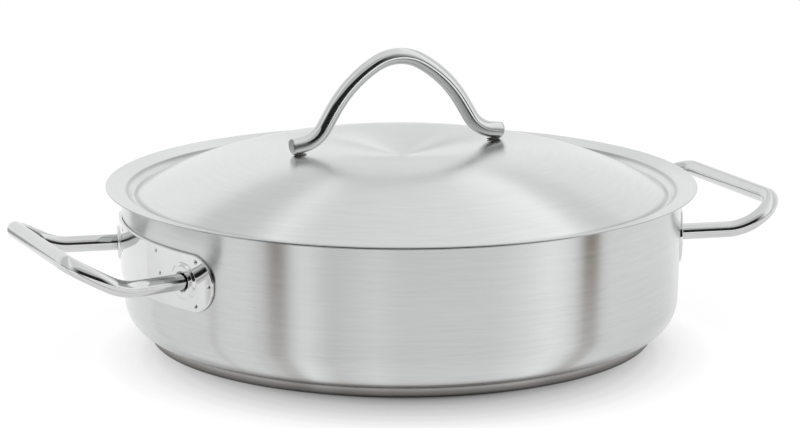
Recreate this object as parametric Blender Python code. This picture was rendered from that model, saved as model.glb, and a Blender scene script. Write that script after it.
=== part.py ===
"""Shallow stainless steel cooking pot with a lift-off lid.

The pot is a drawn shell with a sandwich base, two pressed plates welded to its
wall and a round steel rod bent into a grip on each plate. The lid is one spun
sheet with a seating flange, a locating groove and a dome dished at the middle,
and it carries a third bent rod. Metres, +Z up, the origin at the middle of the
underside. The side grips point along +X and -X.
"""

import math

import bmesh
import bpy
from mathutils import Matrix, Vector

CLEARANCE = 0.0003
SEGMENTS = 72
SMOOTH_ANGLE_DEG = 35.0

# Pot shell
RIM_RADIUS = 0.160
RIM_HEIGHT = 0.0850
WALL_SHEET = 0.0012
WALL_DRAFT = 0.0014
CORNER_REACH = 0.0164
CORNER_RISE = 0.0181
CORNER_STEPS = 7
RIM_EDGE_ROUND = 0.0004

# Sandwich base
CAP_SPREAD = 0.0016
CAP_SHEET = 0.0008
CAP_EDGE_ROUND = 0.0010
CAP_EDGE_STEPS = 3
CORE_THICKNESS = 0.0044

# Plates that carry the side grips
PLATE_THICKNESS = 0.0015
PLATE_HALF_LENGTH = 0.0752
PLATE_HALF_HEIGHT = 0.0161
PLATE_END_STEPS = 6
SOCKET_DROP = 0.0296
SOCKET_DEG = 18.9
BOSS_RADIUS = 0.0105
BOSS_TOP_RADIUS = 0.0086
BOSS_RISE = 0.0013
BOSS_SIDES = 24
BORE_OVERCUT = 0.0042

# Side grips
ROD_RADIUS = 0.0046
ROD_BEVEL_LEVEL = 4
ROD_END_STANDOFF = 0.0006
LEG_SPLAY_DEG = 11.2
GRIP_PROJECTION = 0.0561
GRIP_CORNER_RADIUS = 0.0182
GRIP_CORNER_STEPS = 9
GRIP_RISE_DEG = 27.8
GRIP_BEND_PROJECTION = 0.0291
GRIP_BEND_HALF_WIDTH = 0.0080
GRIP_BEND_STEPS = 4

# Lid
LID_SHEET = 0.0008
LID_OVERHANG = 0.0085
FLANGE_SLOPE_DEG = 11.4
GROOVE_FIT = 0.0018
GROOVE_WIDTH = 0.0039
GROOVE_DEPTH = 0.0037
DOME_RISE = 0.0261
DOME_POWER = 1.87
DOME_STEPS = 9
CREST_RADIUS = 0.0616
DISH_DEPTH = 0.0050
DISH_STEPS = 4

# Lid grip
LID_GRIP_OFFSET = -0.0023
LID_CROWN_RADIUS = 0.0288
LID_CROWN_DEG = 29.3
LID_LEG_DEG = 58.8
LID_LEG_STRAIGHT = 0.0103
LID_FOOT_BEND_RADIUS = 0.0187
LID_FOOT_LENGTH = 0.0066
LID_FOOT_DROOP_DEG = 8.0
LID_FOOT_OVERRUN = 0.0039
LID_CROWN_STEPS = 3
LID_SHOULDER_STEPS = 5
LID_FOOT_BEND_STEPS = 7

BRUSHED_STEEL = (0.60, 0.61, 0.61)
SATIN_STEEL = (0.68, 0.69, 0.69)
POLISHED_STEEL = (0.76, 0.76, 0.76)
BASE_STEEL = (0.42, 0.41, 0.40)
ALUMINIUM = (0.72, 0.72, 0.73)
BRUSHED_ROUGHNESS = 0.32
SATIN_ROUGHNESS = 0.28
PLATE_ROUGHNESS = 0.08
ROD_ROUGHNESS = 0.12
BASE_ROUGHNESS = 0.38
CORE_ROUGHNESS = 0.45

# Places that follow from the sizes above
BASE_HEIGHT = CAP_SHEET + CORE_THICKNESS + 2 * CLEARANCE
CORNER_TOP = BASE_HEIGHT + CORNER_RISE
FLOOR_RADIUS = RIM_RADIUS - WALL_DRAFT - CORNER_REACH
CAP_RADIUS = FLOOR_RADIUS + CAP_SPREAD
RIM_INNER_RADIUS = RIM_RADIUS - WALL_SHEET
SOCKET_HEIGHT = RIM_HEIGHT - SOCKET_DROP
GRIP_REACH = RIM_RADIUS + GRIP_PROJECTION
GRIP_BEND_REACH = RIM_RADIUS + GRIP_BEND_PROJECTION
LID_EDGE_RADIUS = RIM_RADIUS + LID_OVERHANG
GROOVE_OUTER_RADIUS = RIM_INNER_RADIUS - GROOVE_FIT
LID_FOOT_REACH = CREST_RADIUS + LID_FOOT_OVERRUN


def metal(name, colour, roughness):
    """A Principled material of bare metal in this colour."""
    material = bpy.data.materials.new(name)
    material.use_nodes = True
    shader = material.node_tree.nodes["Principled BSDF"]
    shader.inputs["Base Color"].default_value = (*colour, 1.0)
    shader.inputs["Roughness"].default_value = roughness
    shader.inputs["Metallic"].default_value = 1.0
    material.diffuse_color = (*colour, 1.0)
    return material


def linked(name, data, material):
    """A new object in the scene that carries this material."""
    piece = bpy.data.objects.new(name, data)
    piece.data.materials.append(material)
    bpy.context.scene.collection.objects.link(piece)
    return piece


def finished_mesh(name, bm):
    """Closes the working mesh into mesh data with outward faces and smooth rounds."""
    bmesh.ops.recalc_face_normals(bm, faces=bm.faces)
    mesh = bpy.data.meshes.new(name)
    bm.to_mesh(mesh)
    bm.free()
    mesh.shade_smooth()
    mesh.set_sharp_from_angle(angle=math.radians(SMOOTH_ANGLE_DEG))
    return mesh


def turned(name, outline, material):
    """A solid of revolution about Z. The outline of (radius, height) starts and ends on the axis."""
    bm = bmesh.new()
    points = [bm.verts.new((radius, 0.0, height)) for radius, height in outline]
    edges = [bm.edges.new(pair) for pair in zip(points, points[1:])]
    bmesh.ops.spin(
        bm,
        geom=points + edges,
        cent=(0, 0, 0),
        axis=(0, 0, 1),
        angle=math.tau,
        steps=SEGMENTS,
        use_merge=True,
    )
    bmesh.ops.remove_doubles(bm, verts=bm.verts, dist=1e-6)
    return linked(name, finished_mesh(name, bm), material)


def quarter_ellipse(centre, reach, rise, steps):
    """Points from straight below the centre out to its level, along a quarter ellipse."""
    angles = [math.pi / 2 * step / steps for step in range(steps + 1)]
    return [(centre[0] + reach * math.sin(a), centre[1] - rise * math.cos(a)) for a in angles]


def wall_radius(height):
    """Outer radius of the drafted wall at this height."""
    share = (height - CORNER_TOP) / (RIM_HEIGHT - CORNER_TOP)
    return RIM_RADIUS - WALL_DRAFT * (1 - share)


def pot_shell(material):
    """The drawn pot: flat floor, elliptical corner and a nearly upright wall up to a cut rim."""
    corner_centre = (FLOOR_RADIUS, CORNER_TOP)
    outer_corner = quarter_ellipse(corner_centre, CORNER_REACH, CORNER_RISE, CORNER_STEPS)
    inner_corner = quarter_ellipse(
        corner_centre,
        CORNER_REACH - WALL_SHEET,
        CORNER_RISE - WALL_SHEET,
        CORNER_STEPS,
    )
    edge_bottom = RIM_HEIGHT - RIM_EDGE_ROUND
    outline = [(0.0, BASE_HEIGHT)]
    outline += outer_corner
    outline += [
        (wall_radius(edge_bottom), edge_bottom),
        (RIM_RADIUS - RIM_EDGE_ROUND, RIM_HEIGHT),
        (RIM_INNER_RADIUS, RIM_HEIGHT),
    ]
    outline += reversed(inner_corner)
    outline.append((0.0, BASE_HEIGHT + WALL_SHEET))
    return turned("pot_shell", outline, material)


def base_core(material):
    """The heat-spreading disc, sealed between the pot's floor and the cap."""
    radius = CAP_RADIUS - CAP_SHEET - CLEARANCE
    bottom = CAP_SHEET + CLEARANCE
    top = bottom + CORE_THICKNESS
    outline = [(0.0, bottom), (radius, bottom), (radius, top), (0.0, top)]
    return turned("base_core", outline, material)


def base_cap(material):
    """The magnetic sheet pressed round the core. Its flat underside stands on the hob."""
    top = BASE_HEIGHT - CLEARANCE
    edge_centre = (CAP_RADIUS - CAP_EDGE_ROUND, CAP_EDGE_ROUND)
    rounding = quarter_ellipse(edge_centre, CAP_EDGE_ROUND, CAP_EDGE_ROUND, CAP_EDGE_STEPS)
    outline = [(0.0, 0.0)]
    outline += rounding
    outline += [
        (CAP_RADIUS, top),
        (CAP_RADIUS - CAP_SHEET, top),
        (CAP_RADIUS - CAP_SHEET, CAP_SHEET),
        (0.0, CAP_SHEET),
    ]
    return turned("base_cap", outline, material)


def offset_outline(points, distance):
    """The outline moved square to itself, to the right of its direction of travel."""
    steps = [(Vector(end) - Vector(start)).normalized() for start, end in zip(points, points[1:])]
    arriving = steps[:1] + steps
    leaving = steps + steps[-1:]
    moved = []
    for point, before, after in zip(points, arriving, leaving):
        along = (before + after).normalized()
        square = Vector((along.y, -along.x))
        place = Vector(point) + square * distance / along.dot(before)
        moved.append((place.x, place.y))
    return moved


def flange_height(radius):
    """Top of the lid's sloping flange. Its underside sits on the rim's inner edge."""
    slope = math.radians(FLANGE_SLOPE_DEG)
    seat_top = RIM_HEIGHT + (CLEARANCE + LID_SHEET) / math.cos(slope)
    return seat_top + (radius - RIM_INNER_RADIUS) * math.tan(slope)


def groove_floor():
    """Radius and height of the bottom of the lid's locating groove."""
    return GROOVE_OUTER_RADIUS - GROOVE_WIDTH, flange_height(GROOVE_OUTER_RADIUS) - GROOVE_DEPTH


def crest_height():
    """Top of the ring-shaped crest on which the lid's grip stands."""
    return groove_floor()[1] + DOME_RISE


def lid_top_outline():
    """Upper surface of the lid from the axis to the outer edge."""
    floor_radius, floor_height = groove_floor()
    crest = crest_height()
    outline = []
    for step in range(DISH_STEPS):
        radius = CREST_RADIUS * step / DISH_STEPS
        dip = DISH_DEPTH * (1 + math.cos(math.pi * step / DISH_STEPS)) / 2
        outline.append((radius, crest - dip))
    for step in range(DOME_STEPS + 1):
        share = step / DOME_STEPS
        radius = CREST_RADIUS + (floor_radius - CREST_RADIUS) * share
        outline.append((radius, crest - DOME_RISE * share**DOME_POWER))
    outline.append((GROOVE_OUTER_RADIUS, flange_height(GROOVE_OUTER_RADIUS)))
    outline.append((LID_EDGE_RADIUS, flange_height(LID_EDGE_RADIUS)))
    return outline


def lid_shell(material):
    """The spun lid: one sheet, the same thickness all over."""
    top = lid_top_outline()
    underside = offset_outline(top, LID_SHEET)
    underside[0] = (0.0, underside[0][1])
    return turned("lid_shell", underside + top[::-1], material)


def rod(name, path, material):
    """A round bar that follows the path, with square-cut closed ends."""
    curve = bpy.data.curves.new(name, "CURVE")
    curve.dimensions = "3D"
    curve.bevel_depth = ROD_RADIUS
    curve.bevel_resolution = ROD_BEVEL_LEVEL
    curve.use_fill_caps = True
    spline = curve.splines.new("POLY")
    spline.points.add(len(path) - 1)
    for point, place in zip(spline.points, path):
        point.co = (*place, 1.0)
    spline.use_smooth = True
    return linked(name, curve, material)


def arc(centre, radius, start, end, steps):
    """Points on a circle in the plan, from one angle to another."""
    angles = [start + (end - start) * step / steps for step in range(steps + 1)]
    return [Vector((centre[0] + radius * math.cos(a), centre[1] + radius * math.sin(a))) for a in angles]


def grip_height(reach):
    """Height of the side grip's middle line: level at the pot, then bent up to the grip."""
    slope = math.tan(math.radians(GRIP_RISE_DEG))
    beyond = reach - GRIP_BEND_REACH
    if beyond <= -GRIP_BEND_HALF_WIDTH:
        return SOCKET_HEIGHT
    if beyond >= GRIP_BEND_HALF_WIDTH:
        return SOCKET_HEIGHT + slope * beyond
    return SOCKET_HEIGHT + slope * (beyond + GRIP_BEND_HALF_WIDTH) ** 2 / (4 * GRIP_BEND_HALF_WIDTH)


def socket_point(standoff):
    """A point on the middle line of the +Y leg, in plan, this far out from the wall."""
    radius = wall_radius(SOCKET_HEIGHT) + standoff
    angle = math.radians(SOCKET_DEG)
    return Vector((radius * math.cos(angle), radius * math.sin(angle)))


def leg_direction():
    """Plan direction of the +Y leg, pointing away from the pot."""
    splay = math.radians(LEG_SPLAY_DEG)
    return Vector((math.cos(splay), math.sin(splay)))


def side_grip_path():
    """Middle line of the side grip, from the +Y socket round to the -Y socket."""
    end_tilt = math.radians(abs(LEG_SPLAY_DEG - SOCKET_DEG))
    start = socket_point(CLEARANCE + ROD_END_STANDOFF + ROD_RADIUS * math.sin(end_tilt))
    direction = leg_direction()
    splay = math.radians(LEG_SPLAY_DEG)
    corner = start + direction * (GRIP_REACH - start.x) / direction.x
    cut = GRIP_CORNER_RADIUS * math.tan((math.pi / 2 + splay) / 2)
    corner_start = corner - direction * cut
    centre = corner_start + GRIP_CORNER_RADIUS * Vector((direction.y, -direction.x))
    half = [start]
    for step in range(GRIP_BEND_STEPS + 1):
        reach = GRIP_BEND_REACH + GRIP_BEND_HALF_WIDTH * (2 * step / GRIP_BEND_STEPS - 1)
        if reach < corner_start.x - CLEARANCE:
            half.append(start + direction * (reach - start.x) / direction.x)
    half += arc(centre, GRIP_CORNER_RADIUS, math.pi / 2 + splay, 0.0, GRIP_CORNER_STEPS)
    plan = half + [Vector((point.x, -point.y)) for point in reversed(half)]
    return [Vector((point.x, point.y, grip_height(point.x))) for point in plan]


def plate_outline():
    """Flat outline of the plate, long straight sides with a half circle at each end."""
    straight = PLATE_HALF_LENGTH - PLATE_HALF_HEIGHT
    points = []
    for side in (1, -1):
        for step in range(2 * PLATE_END_STEPS + 1):
            angle = math.pi / 2 - math.pi * step / (2 * PLATE_END_STEPS)
            along = side * (straight + PLATE_HALF_HEIGHT * math.cos(angle))
            points.append((along, side * PLATE_HALF_HEIGHT * math.sin(angle)))
    return points


def curved_plate(name, material):
    """The plate cut flat, thickened, then bent to the wall's curve and draft.

    It is bent at the same angles as the wall's own facets, so the two stay a clearance apart.
    """
    inner_radius = wall_radius(SOCKET_HEIGHT) + CLEARANCE
    outline = plate_outline()
    bm = bmesh.new()
    face = bm.faces.new([bm.verts.new((0.0, along, up)) for along, up in outline])
    column = inner_radius * math.tau / SEGMENTS
    count = int(PLATE_HALF_LENGTH / column)
    cuts = {round(along, 9) for along, up in outline}
    cuts |= {round(column * index, 9) for index in range(-count, count + 1)}
    for along in sorted(cuts)[1:-1]:
        bmesh.ops.bisect_plane(
            bm,
            geom=bm.verts[:] + bm.edges[:] + bm.faces[:],
            plane_co=(0, along, 0),
            plane_no=(0, 1, 0),
            dist=1e-7,
        )
    grown = bmesh.ops.extrude_face_region(bm, geom=bm.faces[:])
    for item in grown["geom"]:
        if isinstance(item, bmesh.types.BMVert):
            item.co.x += PLATE_THICKNESS
    for vert in bm.verts:
        angle = vert.co.y / inner_radius
        height = SOCKET_HEIGHT + vert.co.z
        radius = wall_radius(height) + CLEARANCE + vert.co.x
        vert.co = Vector((radius * math.cos(angle), radius * math.sin(angle), height))
    return linked(name, finished_mesh(name, bm), material)


def tool_solid(name, bm):
    """A hidden solid that a Boolean adds to a piece or cuts from it."""
    bmesh.ops.recalc_face_normals(bm, faces=bm.faces)
    mesh = bpy.data.meshes.new(name)
    bm.to_mesh(mesh)
    bm.free()
    solid = bpy.data.objects.new(name, mesh)
    bpy.context.scene.collection.objects.link(solid)
    solid.hide_render = True
    solid.display_type = "WIRE"
    return solid


def cone_along(middle, direction, radius_in, radius_out, depth):
    """A working mesh of a cone frustum whose axis points along the direction."""
    bm = bmesh.new()
    bmesh.ops.create_cone(
        bm,
        cap_ends=True,
        segments=BOSS_SIDES,
        radius1=radius_in,
        radius2=radius_out,
        depth=depth,
    )
    turn = Vector((0, 0, 1)).rotation_difference(direction).to_matrix().to_4x4()
    bmesh.ops.transform(bm, matrix=Matrix.Translation(middle) @ turn, verts=bm.verts)
    return bm


def add_boolean(piece, solid, operation):
    modifier = piece.modifiers.new(solid.name, "BOOLEAN")
    modifier.operation = operation
    modifier.solver = "EXACT"
    modifier.object = solid


def handle_plate(name, material):
    """The plate with a raised boss round each rod end and a bore through it that takes the rod."""
    plate = curved_plate(name, material)
    boss_root = CLEARANCE + PLATE_THICKNESS / 2
    boss_depth = PLATE_THICKNESS / 2 + BOSS_RISE
    bore_depth = PLATE_THICKNESS + BOSS_RISE + 2 * BORE_OVERCUT
    solids = []
    for side in (1, -1):
        outward = socket_point(0).normalized()
        middle = socket_point(boss_root + boss_depth / 2)
        boss = cone_along(
            Vector((middle.x, side * middle.y, SOCKET_HEIGHT)),
            Vector((outward.x, side * outward.y, 0)),
            BOSS_RADIUS,
            BOSS_TOP_RADIUS,
            boss_depth,
        )
        solids.append((tool_solid(f"{name}_boss_{side}", boss), "UNION"))
    for side in (1, -1):
        direction = leg_direction()
        middle = socket_point(CLEARANCE + PLATE_THICKNESS)
        bore_radius = ROD_RADIUS + CLEARANCE
        bore = cone_along(
            Vector((middle.x, side * middle.y, SOCKET_HEIGHT)),
            Vector((direction.x, side * direction.y, 0)),
            bore_radius,
            bore_radius,
            bore_depth,
        )
        solids.append((tool_solid(f"{name}_bore_{side}", bore), "DIFFERENCE"))
    for solid, operation in solids:
        add_boolean(plate, solid, operation)
        solid.parent = plate
    return plate


def shoulder_radius(crown_end, leg):
    """Radius of the arch's long bend, which takes up what the shorter bends leave of its reach."""
    crown_reach = LID_CROWN_RADIUS * math.sin(crown_end)
    leg_reach = LID_LEG_STRAIGHT * math.cos(leg)
    droop = math.radians(LID_FOOT_DROOP_DEG)
    foot_bend_reach = LID_FOOT_BEND_RADIUS * (math.sin(leg) - math.sin(droop))
    foot_reach = LID_FOOT_LENGTH * math.cos(droop)
    left_over = LID_FOOT_REACH - foot_reach - crown_reach - leg_reach - foot_bend_reach
    return left_over / (math.sin(leg) - math.sin(crown_end))


def arch_arc(start, radius, first, last, steps):
    """Points of an arc in the arch's plane, as (reach, fall), between two slopes of the bar."""
    reach, fall = start
    points = []
    for step in range(1, steps + 1):
        slope = first + (last - first) * step / steps
        outward = abs(math.sin(slope) - math.sin(first))
        downward = abs(math.cos(slope) - math.cos(first))
        points.append((reach + radius * outward, fall + radius * downward))
    return points


def lid_grip_path():
    """Middle line of the lid's grip, from one foot over the crown to the other foot.

    The feet droop a little, so that their ends stand on the dome's crest.
    """
    foot_height = crest_height() + CLEARANCE + ROD_RADIUS
    crown_end = math.radians(LID_CROWN_DEG)
    leg = math.radians(LID_LEG_DEG)
    droop = math.radians(LID_FOOT_DROOP_DEG)
    half = [(0.0, 0.0)]
    half += arch_arc(half[-1], LID_CROWN_RADIUS, 0.0, crown_end, LID_CROWN_STEPS)
    half += arch_arc(half[-1], shoulder_radius(crown_end, leg), crown_end, leg, LID_SHOULDER_STEPS)
    reach, fall = half[-1]
    half.append((reach + LID_LEG_STRAIGHT * math.cos(leg), fall + LID_LEG_STRAIGHT * math.sin(leg)))
    half += arch_arc(half[-1], LID_FOOT_BEND_RADIUS, leg, droop, LID_FOOT_BEND_STEPS)
    whole_fall = half[-1][1] + LID_FOOT_LENGTH * math.sin(droop)
    half.append((LID_FOOT_REACH, whole_fall))
    middle_line = [(-reach, fall) for reach, fall in reversed(half[1:])] + half
    return [
        Vector((LID_GRIP_OFFSET + reach, 0.0, foot_height + whole_fall - fall))
        for reach, fall in middle_line
    ]


def build():
    for leftover in list(bpy.data.objects):
        bpy.data.objects.remove(leftover, do_unlink=True)

    brushed = metal("brushed_stainless_wall", BRUSHED_STEEL, BRUSHED_ROUGHNESS)
    satin = metal("satin_stainless_lid", SATIN_STEEL, SATIN_ROUGHNESS)
    polished_plate = metal("polished_stainless_plate", POLISHED_STEEL, PLATE_ROUGHNESS)
    polished_rod = metal("polished_stainless_rod", POLISHED_STEEL, ROD_ROUGHNESS)
    dull = metal("magnetic_stainless_cap", BASE_STEEL, BASE_ROUGHNESS)
    core_metal = metal("aluminium_core", ALUMINIUM, CORE_ROUGHNESS)

    pot_shell(brushed)
    base_core(core_metal)
    base_cap(dull)

    grip_path = side_grip_path()
    for side_name, turn_deg in (("right", 0.0), ("left", 180.0)):
        plate = handle_plate(f"handle_plate_{side_name}", polished_plate)
        grip = rod(f"handle_rod_{side_name}", grip_path, polished_rod)
        for piece in (plate, grip):
            piece.rotation_euler.z = math.radians(turn_deg)

    lid_axis = bpy.data.objects.new("lid_lift_axis", None)
    lid_axis.location = (0.0, 0.0, RIM_HEIGHT)
    bpy.context.scene.collection.objects.link(lid_axis)
    for piece in (lid_shell(satin), rod("lid_handle_rod", lid_grip_path(), polished_rod)):
        piece.parent = lid_axis
        piece.location.z = -RIM_HEIGHT


build()
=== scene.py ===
import math

import bmesh
import bpy
from mathutils import Matrix, Vector


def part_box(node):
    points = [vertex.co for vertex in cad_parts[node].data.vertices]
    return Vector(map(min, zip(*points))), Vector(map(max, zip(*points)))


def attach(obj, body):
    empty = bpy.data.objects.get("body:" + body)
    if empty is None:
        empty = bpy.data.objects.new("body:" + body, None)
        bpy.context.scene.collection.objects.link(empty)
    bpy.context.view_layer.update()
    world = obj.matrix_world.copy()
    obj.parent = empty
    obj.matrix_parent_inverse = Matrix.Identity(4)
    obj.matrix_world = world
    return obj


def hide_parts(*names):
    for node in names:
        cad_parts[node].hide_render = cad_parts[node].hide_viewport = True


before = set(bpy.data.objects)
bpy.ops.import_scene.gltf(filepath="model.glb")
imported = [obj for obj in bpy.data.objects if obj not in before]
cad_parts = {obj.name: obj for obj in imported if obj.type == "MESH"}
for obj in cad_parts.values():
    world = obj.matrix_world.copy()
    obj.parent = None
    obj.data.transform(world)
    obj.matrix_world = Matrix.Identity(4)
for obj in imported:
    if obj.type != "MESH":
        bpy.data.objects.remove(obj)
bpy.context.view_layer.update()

# Camera: a long lens, a little above the pot and to the left of its front.
# The pot's side handles point along X, so the nearer one is at the left.
camera_turn_deg = -24.16
camera_pose_deg = (77.60, -0.123, -24.133)


def in_scene(name, data):
    """A new object of this name in the scene."""
    made = bpy.data.objects.new(name, data)
    bpy.context.scene.collection.objects.link(made)
    return made


camera_data = bpy.data.cameras.new("camera")
camera_data.lens = 141.45
camera_data.sensor_width = 36.0
camera_data.shift_x = -0.00184
camera = in_scene("camera", camera_data)
camera.location = (-0.7203, -1.6058, 0.4557)
camera.rotation_euler = [math.radians(angle) for angle in camera_pose_deg]
bpy.context.scene.camera = camera
bpy.context.scene.view_settings.view_transform = "Standard"

# Studio: a white surround at plain strength. What the bare metal mirrors is not even:
# soft boxes overhead with gaps between them, and a dark room behind the camera that
# shows above the white table as one low dark strip.
surround_white = (1.0, 1.0, 1.0, 1.0)
light_scale = 1.5
overhead_levels = [
    (-180, 0.86), (-173, 0.86), (-167, 1.16), (-160, 0.88), (-100, 0.95), (-64, 1.04),
    (-57, 1.00), (-52, 0.78), (-38, 0.78), (-34, 0.96), (-30, 1.17), (-25, 0.98), (-21, 0.91),
    (0, 0.96), (20, 1.00), (28, 1.10), (36, 1.17), (42, 1.28), (46, 0.96), (51, 0.83),
    (56, 0.84), (62, 0.97), (90, 0.96), (164, 0.88), (170, 1.16), (175, 0.86), (180, 0.86),
]
level_ray_ahead = 0.976  # how far ahead a ray points that level metal mirrors to the camera
dark_room_heights = [(0.0, 0.02), (0.50, 0.02), (0.60, 0.68), (1.0, 0.72)]
dark_room_full = -0.78
dark_room_gone = -0.38


def add_node(tree, kind, **settings):
    """A new node with these settings."""
    node = tree.nodes.new(kind)
    for name, value in settings.items():
        setattr(node, name, value)
    return node


def join(tree, outlet, inlet):
    """Wires one node's output to another's input."""
    tree.links.new(outlet, inlet)


def math_step(tree, operation, first, second=None):
    """A Math node on one or two inputs, each a socket or a number. Gives its output."""
    node = add_node(tree, "ShaderNodeMath", operation=operation)
    for inlet, value in zip(node.inputs, (first, second)):
        if value is None:
            continue
        if isinstance(value, (int, float)):
            inlet.default_value = value
        else:
            join(tree, value, inlet)
    return node.outputs[0]


def grey_ramp(tree, place, stops, reach=1.0):
    """A ramp of greys over a value from 0 to this reach. Each stop is (value, level)."""
    share = place if reach == 1.0 else math_step(tree, "DIVIDE", place, reach)
    ramp = add_node(tree, "ShaderNodeValToRGB")
    join(tree, share, ramp.inputs[0])
    ramp.color_ramp.interpolation = "EASE"
    points = ramp.color_ramp.elements
    while len(points) < len(stops):
        points.new(0.5)
    for point, (where, level) in zip(points, stops):
        point.position = where / reach
        point.color = (level, level, level, 1.0)
    return ramp.outputs[0]


surround = bpy.data.worlds.new("white_surround")
bpy.context.scene.world = surround
surround.use_nodes = True
tree = surround.node_tree
tree.nodes.clear()
seen = add_node(tree, "ShaderNodeTexCoord")
turned_seen = add_node(tree, "ShaderNodeVectorRotate", rotation_type="Z_AXIS")
turned_seen.inputs["Angle"].default_value = math.radians(-camera_turn_deg)
join(tree, seen.outputs["Generated"], turned_seen.inputs["Vector"])
parts = add_node(tree, "ShaderNodeSeparateXYZ")
join(tree, turned_seen.outputs[0], parts.inputs[0])
ahead = math_step(tree, "SUBTRACT", level_ray_ahead, parts.outputs["Y"])
bearing = math_step(tree, "ARCTAN2", parts.outputs["X"], ahead)
round_share = math_step(tree, "ADD", math_step(tree, "DIVIDE", bearing, math.tau), 0.5)
overhead_stops = [((deg + 180) / 360, level / light_scale) for deg, level in overhead_levels]
overhead = grey_ramp(tree, round_share, overhead_stops)
dark_room = grey_ramp(tree, parts.outputs["Z"], dark_room_heights)
far_side = add_node(tree, "ShaderNodeMapRange")
join(tree, parts.outputs["Y"], far_side.inputs["Value"])
far_side.inputs["From Min"].default_value = dark_room_full
far_side.inputs["From Max"].default_value = dark_room_gone
open_room = math_step(tree, "MAXIMUM", dark_room, far_side.outputs["Result"])
scaled = add_node(tree, "ShaderNodeVectorMath", operation="SCALE")
join(tree, overhead, scaled.inputs[0])
join(tree, math_step(tree, "MULTIPLY", open_room, light_scale), scaled.inputs["Scale"])
mirrored = add_node(tree, "ShaderNodeBackground")
join(tree, scaled.outputs[0], mirrored.inputs["Color"])
plain = add_node(tree, "ShaderNodeBackground")
plain.inputs["Color"].default_value = surround_white
rays = add_node(tree, "ShaderNodeLightPath")
choice = add_node(tree, "ShaderNodeMixShader")
join(tree, rays.outputs["Is Glossy Ray"], choice.inputs[0])
join(tree, plain.outputs[0], choice.inputs[1])
join(tree, mirrored.outputs[0], choice.inputs[2])
surround_out = add_node(tree, "ShaderNodeOutputWorld")
join(tree, choice.outputs[0], surround_out.inputs["Surface"])

# Table: one wide white sheet that glows as white as the surround. Under the pot, and a
# little in front of it, lies an oval patch with less glow, a painted shadow, so the soft
# shadow keeps its depth.
table_radius = 14.0
table_sides = 96
table_drop = 0.0002
table_tone = 0.35
shadow_shift = 0.0438
shadow_aside = 0.0040
shadow_width = 0.966
glow_reach = 0.60
table_glow_painted_shadow = [
    (0.0, 0.0), (0.100, 0.03), (0.105, 0.14), (0.110, 0.20), (0.120, 0.308), (0.130, 0.395),
    (0.140, 0.486), (0.150, 0.574), (0.160, 0.65), (0.170, 0.69), (0.180, 0.74), (0.20, 0.72),
    (0.31, 0.675), (0.56, 0.65),
]


def made_mesh(bm, name):
    """Writes a bmesh to a new mesh of this name, and frees it."""
    mesh = bpy.data.meshes.new(name)
    bm.to_mesh(mesh)
    bm.free()
    return mesh


bm = bmesh.new()
bmesh.ops.create_circle(bm, cap_ends=True, segments=table_sides, radius=table_radius)
table_mesh = made_mesh(bm, "white_table")
table = in_scene("white_table", table_mesh)
table.location.z = -table_drop
table_finish = bpy.data.materials.new("white_table_sheet")
table_finish.use_nodes = True
tree = table_finish.node_tree
tree.nodes.clear()
sheet = add_node(tree, "ShaderNodeBsdfDiffuse")
sheet.inputs["Color"].default_value = (table_tone, table_tone, table_tone, 1.0)
place = add_node(tree, "ShaderNodeTexCoord")
shadow_place = add_node(tree, "ShaderNodeMapping", vector_type="TEXTURE")
join(tree, place.outputs["Object"], shadow_place.inputs["Vector"])
turn = math.radians(camera_turn_deg)
shadow_middle = Matrix.Rotation(turn, 3, "Z") @ Vector((shadow_aside, -shadow_shift, 0.0))
shadow_place.inputs["Location"].default_value = shadow_middle
shadow_place.inputs["Rotation"].default_value = (0.0, 0.0, turn)
shadow_place.inputs["Scale"].default_value = (shadow_width, 1.0, 1.0)
reach = add_node(tree, "ShaderNodeVectorMath", operation="LENGTH")
join(tree, shadow_place.outputs[0], reach.inputs[0])
# Painted shadow: the glow is low under the pot and rises outward, so the table is darker there.
glow = grey_ramp(tree, reach.outputs["Value"], table_glow_painted_shadow, glow_reach)
rays = add_node(tree, "ShaderNodeLightPath")
mirror_ray = math_step(
    tree, "MAXIMUM", rays.outputs["Is Glossy Ray"], rays.outputs["Is Transmission Ray"]
)
seen_ray = math_step(tree, "MAXIMUM", rays.outputs["Is Camera Ray"], mirror_ray)
lift = add_node(tree, "ShaderNodeEmission")
lift.inputs["Color"].default_value = surround_white
join(tree, math_step(tree, "MULTIPLY", seen_ray, glow), lift.inputs["Strength"])
both = add_node(tree, "ShaderNodeAddShader")
join(tree, sheet.outputs[0], both.inputs[0])
join(tree, lift.outputs[0], both.inputs[1])
table_out = add_node(tree, "ShaderNodeOutputMaterial")
join(tree, both.outputs[0], table_out.inputs["Surface"])
table_mesh.materials.append(table_finish)

# Reflector cards: matt strips laid in a fan on the table in front of the pot, the dark ones
# a little warm, a grey card at its left, and the dark floor of the room beyond. Only the
# metal sees them. The brushed wall draws each strip out into one soft upright band.
even_tone = 0.96
card_tones = [
    (-60, 0.96), (-52, 1.03), (-41, 1.04), (-40.2, 0.60), (-39.4, 0.60), (-38.6, 1.06),
    (-31, 1.07), (-29, 0.94), (-27.2, 0.85), (-25.6, 0.22), (-23.4, 0.22), (-21.6, 1.05),
    (-19.2, 1.26), (-13.5, 0.94), (-5, 1.12), (0, 1.02), (18, 1.05), (26, 1.20), (30, 1.32),
    (34, 1.20), (36.8, 0.92), (38.2, 0.08), (41.2, 0.12), (42.4, 0.98), (46, 1.05),
    (65, 0.97), (75, 1.02), (84, 0.96),
]
# Painted shadow: the rings nearest the wall have lower levels, for the pot's contact shadow on the
# table as the metal mirrors it.
card_rings = [  # how far from the wall, the strength of the dark bands there, and its level
    (-0.0145, 0.20, 0.56), (-0.010, 0.20, 0.80), (-0.004, 0.20, 0.90), (0.025, 0.25, 0.91),
    (0.08, 0.34, 0.92), (0.20, 0.62, 0.96), (0.33, 1.0, 1.04), (0.95, 1.0, 1.06),
]
band_warmth = (0.05, -0.02, -0.08)
strip_step_deg = 0.5
wall_reach = 0.160
view_spread_deg = 5.7
grey_card_tone = (0.48, 0.48, 0.48, 1.0)
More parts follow.
